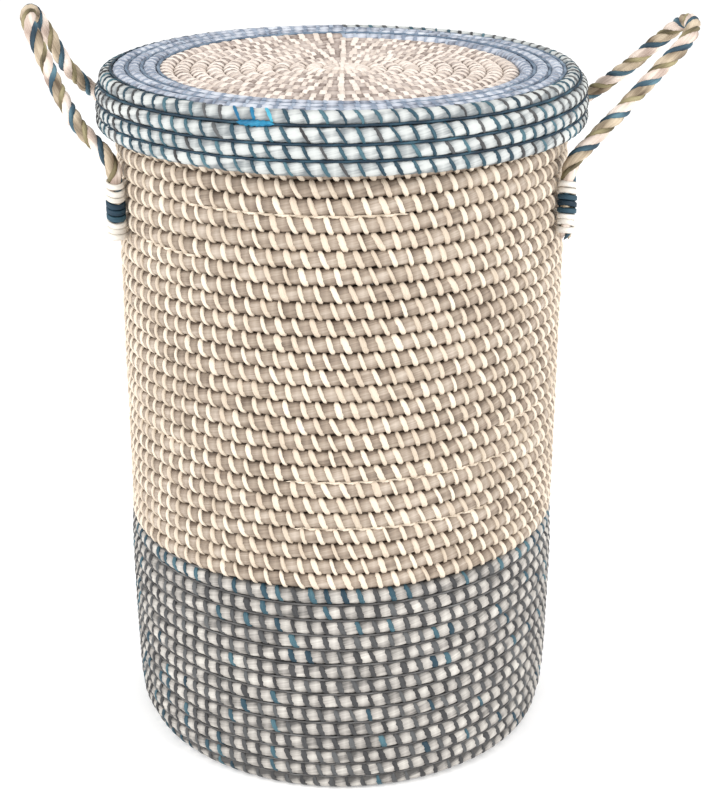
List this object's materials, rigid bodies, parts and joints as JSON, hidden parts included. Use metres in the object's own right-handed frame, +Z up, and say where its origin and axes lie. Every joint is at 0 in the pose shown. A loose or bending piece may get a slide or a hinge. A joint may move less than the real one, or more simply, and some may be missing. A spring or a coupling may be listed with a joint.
{
  "type": "laundry basket",
  "caption": "Tall round coiled seagrass laundry basket with a lift-off cap lid and a stiff twisted rope handle on each side.",
  "frame": {"origin": "centre of the foot, on the floor", "axes": "+Z up, -Y the front, the handles at -X and +X"},
  "size_m": [0.5578, 0.4102, 0.6361],
  "materials": {
    "cream_stitched_coil": "coiled seagrass under cream strip stitches",
    "blue_stitched_coil": "coiled seagrass under grey-blue strip stitches",
    "blue_stitched_lid": "coiled pale seagrass under teal strip stitches",
    "rope": "three-strand twisted seagrass rope",
    "lashing_strip": "flat pale strip"
  },
  "bodies": {
    "basket": {"base_coil": "blue_stitched_coil", "lower_wall_coil": "blue_stitched_coil", "upper_wall_coil": "cream_stitched_coil", "rim_coil": "cream_stitched_coil", "left_front_tail": "rope", "left_rear_tail": "rope", "right_front_tail": "rope", "right_rear_tail": "rope", "left_front_lashing": "lashing_strip", "left_rear_lashing": "lashing_strip", "right_front_lashing": "lashing_strip", "right_rear_lashing": "lashing_strip"},
    "lid": {"lid_disc_coil": "cream_stitched_coil", "lid_ring_coil": "blue_stitched_lid", "lid_skirt_coil": "blue_stitched_lid"},
    "left_handle": {"left_handle_rope": "rope"},
    "right_handle": {"right_handle_rope": "rope"}
  },
  "joints": [
    {"name": "lid_lift", "type": "slide", "parent": "basket", "child": "lid", "axis": [0, 0, 1], "range_m": [0, 0.4]},
    {"name": "left_handle_bend", "type": "hinge", "parent": "basket", "child": "left_handle", "pos_m": [-0.18413, 0, 0.52], "axis": [0, -1, 0], "range_deg": [-4, 85]},
    {"name": "right_handle_bend", "type": "hinge", "parent": "basket", "child": "right_handle", "pos_m": [0.18413, 0, 0.52], "axis": [0, 1, 0], "range_deg": [-4, 75]}
  ]
}
